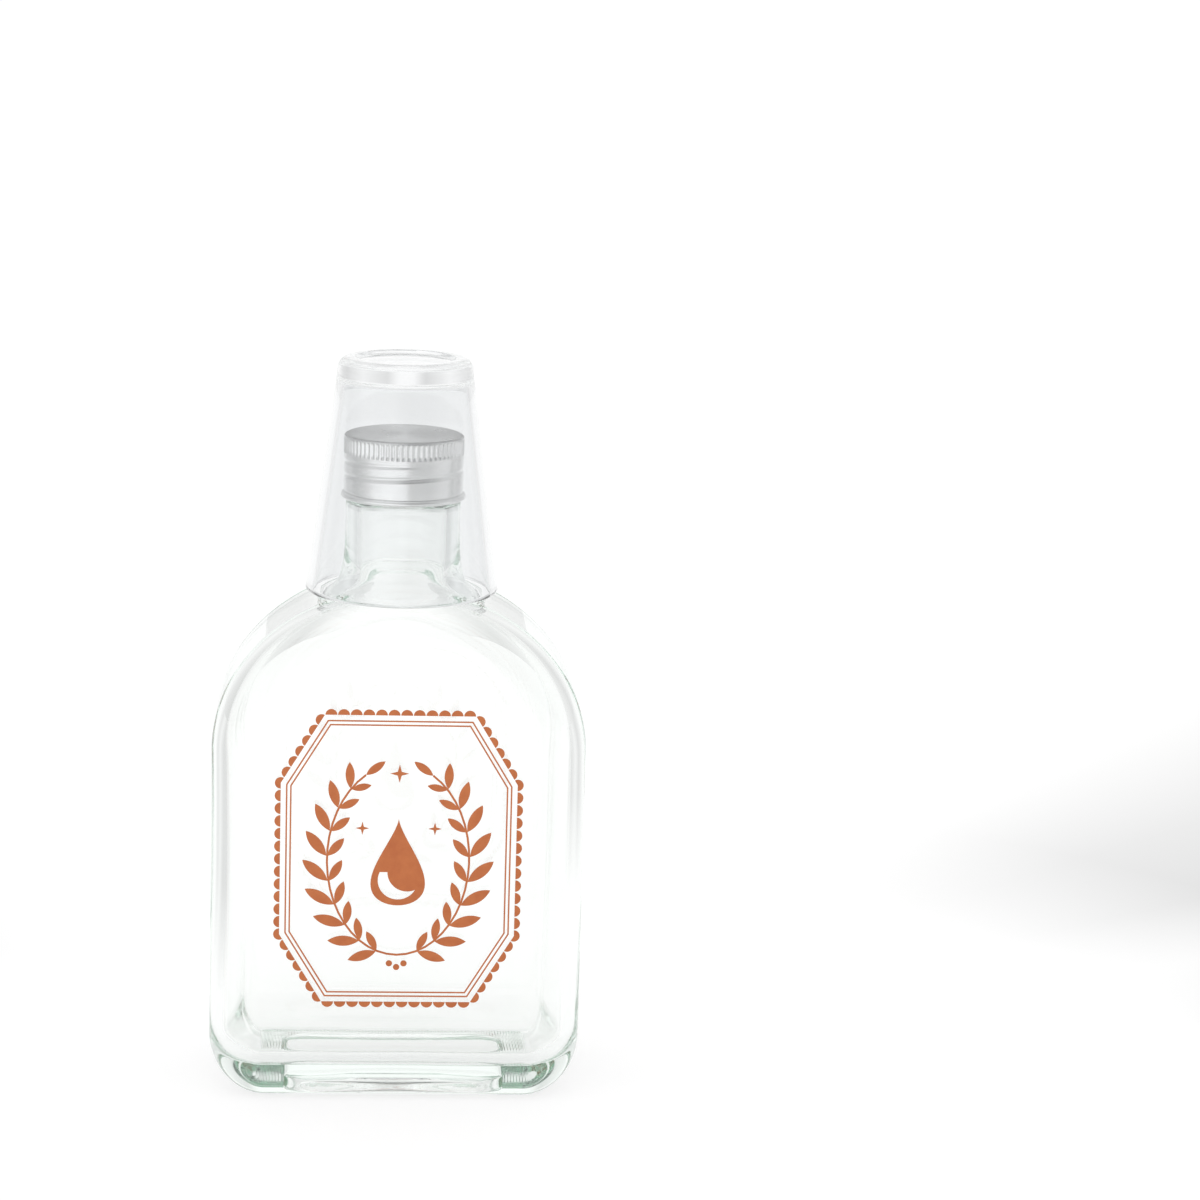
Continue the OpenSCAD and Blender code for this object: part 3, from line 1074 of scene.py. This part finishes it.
@dataclass(frozen=True)
class Studio:
    """The white set: a wide glowing floor, a pale room round it, one soft panel and the camera."""

    distance: float = 825.62 * MM
    aim_z: float = 86 * MM
    elevation: float = 14.045
    azimuth: float = -1.047
    yaw: float = -3.339
    pitch: float = -2.115
    roll: float = 1.781
    focal_px: float = 3479.45
    walls: tuple[tuple[float, float], ...] = (
        (-180, 1.08), (-176, 1.06), (-169, 0.78), (-150, 0.98), (-135, 0.84), (-110, 0.7), (-88, 0.8),
        (-65, 1.0), (-20, 0.98), (-6, 0.72), (6, 0.50), (35, 0.52), (62, 0.75), (80, 0.98), (104, 0.9),
        (128, 0.74), (150, 0.98), (168, 0.8), (175, 1.06), (180, 1.08),
    )
    ground: tuple[tuple[float, float], ...] = (
        (-180, 1.0), (-145, 1.0), (-130, 0.7), (-119, 0.86), (-109, 0.6), (-97, 0.62), (-78, 0.85),
        (-57, 1.4), (-30, 1.55), (3, 1.5), (12, 0.88), (50, 0.88), (75, 1.05), (89, 1.12), (101, 0.62),
        (112, 0.84), (122, 0.64), (132, 0.74), (145, 1.0), (180, 1.0),
    )
    ceiling: float = 0.85
    ceiling_low: float = 0.3
    ceiling_high: float = 0.9
    floor_size: float = 60.0
    floor_gap: float = 0.15 * MM
    glow: float = 0.76
    middle: tuple[float, float, float] = (45 * MM, 0, 0)
    plain_reach: float = 0.15
    shaded_reach: float = 0.25
    panel_place: tuple[float, float, float] = (-0.3, -0.4, 1.5)
    panel_size: tuple[float, float] = (1.4, 1.2)
    panel_power: float = 2.0
    bounces: int = 96

    def camera(self) -> bpy.types.Object:
        """Place the camera where the photo was taken from.

        Returns:
            The camera.
        """
        e, a = math.radians(self.elevation), math.radians(self.azimuth)
        place = Vector((
            self.distance * math.cos(e) * math.sin(a),
            -self.distance * math.cos(e) * math.cos(a),
            self.aim_z + self.distance * math.sin(e),
        ))
        turn, tip, roll = a + math.radians(self.yaw), e + math.radians(self.pitch), math.radians(self.roll)
        ahead = Vector((-math.sin(turn) * math.cos(tip), math.cos(turn) * math.cos(tip), -math.sin(tip)))
        right = Vector((math.cos(turn), math.sin(turn), 0))
        up = right.cross(ahead)
        right, up = (
            math.cos(roll) * right + math.sin(roll) * up,
            -math.sin(roll) * right + math.cos(roll) * up,
        )
        data = bpy.data.cameras.new("camera")
        data.sensor_width = SENSOR
        data.lens = self.focal_px / PHOTO_SIDE * SENSOR
        data.clip_start, data.clip_end = 0.01, 20.0
        camera = bpy.data.objects.new("camera", data)
        bpy.context.scene.collection.objects.link(camera)
        turned = Matrix((right, up, -ahead)).transposed().to_4x4()
        camera.matrix_world = Matrix.Translation(place) @ turned
        bpy.context.scene.camera = camera
        return camera

    def floor(self) -> bpy.types.Object:
        """Lay the pale floor, even where the picture shows it and shaded by direction further out.

        Returns:
            The floor.
        """
        deselect()
        bpy.ops.mesh.primitive_plane_add(size=self.floor_size, location=(0, 0, -self.floor_gap))
        floor = bpy.context.object
        floor.name = "floor"
        bpy.ops.object.mode_set(mode="EDIT")
        bpy.ops.mesh.select_all(action="SELECT")
        bpy.ops.mesh.subdivide(number_cuts=8)
        bpy.ops.object.mode_set(mode="OBJECT")
        made = new_material("white_sweep")
        tree = made.node_tree
        mottle = noise(tree, 0.4, 2.0)
        where = add_node(tree, "ShaderNodeTexCoord").outputs["Object"]
        aside = add_node(
            tree, "ShaderNodeVectorMath", {0: where, 1: self.middle}, operation="DISTANCE"
        ).outputs["Value"]
        shade = add_node(tree, "ShaderNodeMix", {
            0: ranged(tree, aside, 0.0, 1.0, self.plain_reach, self.shaded_reach), 6: (1, 1, 1, 1),
            7: self.round_about(tree, where, self.ground),
        }, data_type="RGBA").outputs[2]
        body = add_node(tree, "ShaderNodeBsdfPrincipled", {
            "Base Color": mixed(tree, mottle, "#9A9A9A", "#989898"), "Roughness": 1.0,
            "Specular IOR Level": 0.0,
            "Emission Color": shade, "Emission Strength": self.glow,
        })
        add_node(tree, "ShaderNodeOutputMaterial", {"Surface": body.outputs[0]})
        dress(floor, made)
        return floor

    def round_about(
        self, tree: bpy.types.NodeTree, way: bpy.types.NodeSocket, greys: tuple[tuple[float, float], ...]
    ) -> bpy.types.NodeSocket:
        """Grey that changes with the direction round the flask, as cards and windows round a set make it.

        Args:
            tree: The node tree.
            way: A direction or a place seen from the flask.
            greys: Pairs of an angle in degrees and a grey; 0 is the camera's side and 90 the right.

        Returns:
            The grey's output.
        """
        parts = add_node(tree, "ShaderNodeSeparateXYZ", {0: way})
        front = add_node(tree, "ShaderNodeMath", {0: parts.outputs["Y"], 1: -1.0}, operation="MULTIPLY")
        turn = add_node(
            tree, "ShaderNodeMath", {0: parts.outputs["X"], 1: front.outputs[0]}, operation="ARCTAN2"
        ).outputs[0]
        ramp = add_node(tree, "ShaderNodeValToRGB", {0: ranged(tree, turn, 0.0, 1.0, -math.pi, math.pi)})
        stops = ramp.color_ramp.elements
        stops.remove(stops[1])
        stops[0].position = 0.0
        stops[0].color = (greys[0][1],) * 3 + (1.0,)
        for angle, grey in greys[1:]:
            stops.new((angle + 180) / 360).color = (grey, grey, grey, 1.0)
        return ramp.outputs[0]

    def world(self) -> None:
        """Wrap the set in soft light: walls whose grey changes with the direction, under an even ceiling."""
        world = bpy.data.worlds.new("white_room")
        world.use_nodes = True
        tree = world.node_tree
        tree.nodes.clear()
        way = add_node(tree, "ShaderNodeTexCoord").outputs["Generated"]
        parts = add_node(tree, "ShaderNodeSeparateXYZ", {0: way})
        walls = self.round_about(tree, way, self.walls)
        high = ranged(tree, parts.outputs["Z"], 0.0, 1.0, self.ceiling_low, self.ceiling_high)
        colour = add_node(
            tree, "ShaderNodeMix", {0: high, 6: walls, 7: (self.ceiling,) * 3 + (1.0,)}, data_type="RGBA"
        ).outputs[2]
        light = add_node(tree, "ShaderNodeBackground", {"Color": colour, "Strength": 1.0})
        add_node(tree, "ShaderNodeOutputWorld", {"Surface": light.outputs[0]})
        bpy.context.scene.world = world

    def panel(self) -> None:
        """Hang the soft panel over the flask, facing it."""
        data = bpy.data.lights.new("top_panel", "AREA")
        data.shape, data.energy = "RECTANGLE", self.panel_power
        data.size, data.size_y = self.panel_size
        light = bpy.data.objects.new("top_panel", data)
        bpy.context.scene.collection.objects.link(light)
        light.location = self.panel_place
        aim = Vector((0, 0, 80 * MM)) - Vector(self.panel_place)
        light.rotation_euler = aim.to_track_quat("-Z", "Y").to_euler()

    def build(self) -> None:
        """Set up the camera, the floor and the light."""
        self.camera()
        self.floor()
        self.world()
        self.panel()
        paths = bpy.context.scene.cycles
        # light that runs round inside thick glass by total reflection counts as glossy and needs many bounces
        paths.max_bounces = paths.transmission_bounces = paths.glossy_bounces = self.bounces
        settings = bpy.context.scene.view_settings
        settings.view_transform = "Standard"
        settings.look = "None"


def main() -> None:
    """Build the set and the pieces."""
    logging.basicConfig(level=logging.INFO, format="%(message)s")
    Studio().build()
    cup_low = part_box("cup")[1].z - Cup.height
    for part in (GlassFlask(), ScrewCap(), Cup(cup_low)):
        piece = part.build()
        log.info("%s: %d faces", piece.name, len(piece.data.polygons))
    dress(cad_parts["cap_liner"], LinerFoam().material())
    dress(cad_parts["front_print"], PrintInk().material())


if __name__ == "__main__":
    main()
